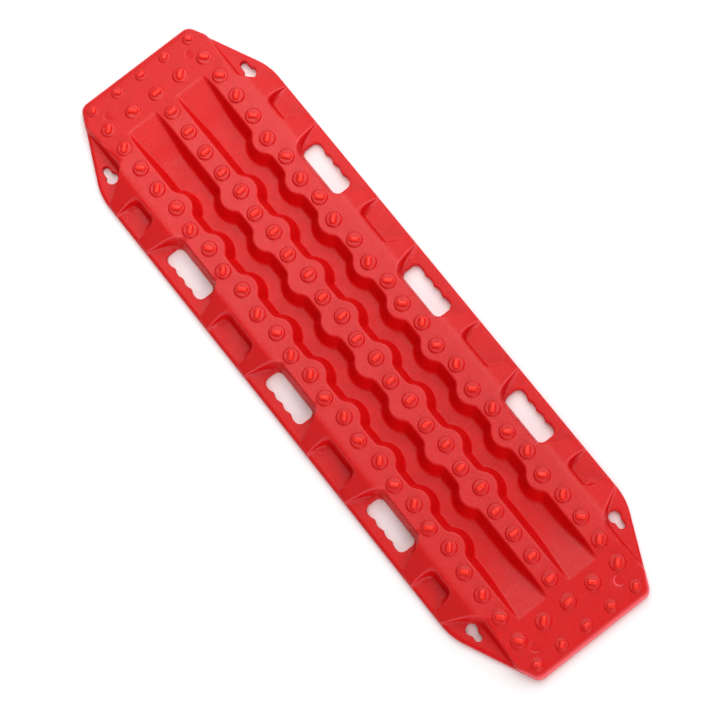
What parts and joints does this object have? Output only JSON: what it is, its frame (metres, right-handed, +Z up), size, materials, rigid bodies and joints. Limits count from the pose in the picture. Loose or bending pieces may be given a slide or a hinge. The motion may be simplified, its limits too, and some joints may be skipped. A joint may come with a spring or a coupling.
{
  "type": "traction board",
  "caption": "Model-scale vehicle traction board: studded ridges and grooves, sloped noses, hand slots with scalloped bars, pockets and keyhole tabs.",
  "frame": {"origin": "centre of the board's footprint, on the plane it lies on", "axes": "+X along the board to the front nose, +Y to the left long edge, +Z up through the studs"},
  "size_m": [0.1452, 0.0424, 0.0059],
  "materials": {
    "red_plastic": "fine matt mould texture with a soft sheen"
  },
  "bodies": {
    "root": {"centre_ridge": "red_plastic", "front_left_inner_pocket_floor": "red_plastic", "front_left_inner_shoulder": "red_plastic", "front_left_keyhole_tab": "red_plastic", "front_left_outer_pocket_floor": "red_plastic", "front_left_outer_shoulder": "red_plastic", "front_left_ramp": "red_plastic", "front_nose": "red_plastic", "front_right_inner_pocket_floor": "red_plastic", "front_right_inner_shoulder": "red_plastic", "front_right_keyhole_tab": "red_plastic", "front_right_outer_pocket_floor": "red_plastic", "front_right_outer_shoulder": "red_plastic", "front_right_ramp": "red_plastic", "left_front_grip_aft_web": "red_plastic", "left_front_grip_bar": "red_plastic", "left_front_grip_fore_web": "red_plastic", "left_groove_floor": "red_plastic", "left_middle_grip_aft_web": "red_plastic", "left_middle_grip_bar": "red_plastic", "left_middle_grip_fore_web": "red_plastic", "left_rear_grip_aft_web": "red_plastic", "left_rear_grip_bar": "red_plastic", "left_rear_grip_fore_web": "red_plastic", "left_ridge": "red_plastic", "rear_left_inner_pocket_floor": "red_plastic", "rear_left_inner_shoulder": "red_plastic", "rear_left_keyhole_tab": "red_plastic", "rear_left_outer_pocket_floor": "red_plastic", "rear_left_outer_shoulder": "red_plastic", "rear_left_ramp": "red_plastic", "rear_nose": "red_plastic", "rear_right_inner_pocket_floor": "red_plastic", "rear_right_inner_shoulder": "red_plastic", "rear_right_keyhole_tab": "red_plastic", "rear_right_outer_pocket_floor": "red_plastic", "rear_right_outer_shoulder": "red_plastic", "rear_right_ramp": "red_plastic", "right_front_grip_aft_web": "red_plastic", "right_front_grip_bar": "red_plastic", "right_front_grip_fore_web": "red_plastic", "right_groove_floor": "red_plastic", "right_middle_grip_aft_web": "red_plastic", "right_middle_grip_bar": "red_plastic", "right_middle_grip_fore_web": "red_plastic", "right_rear_grip_aft_web": "red_plastic", "right_rear_grip_bar": "red_plastic", "right_rear_grip_fore_web": "red_plastic", "right_ridge": "red_plastic"}
  },
  "joints": []
}
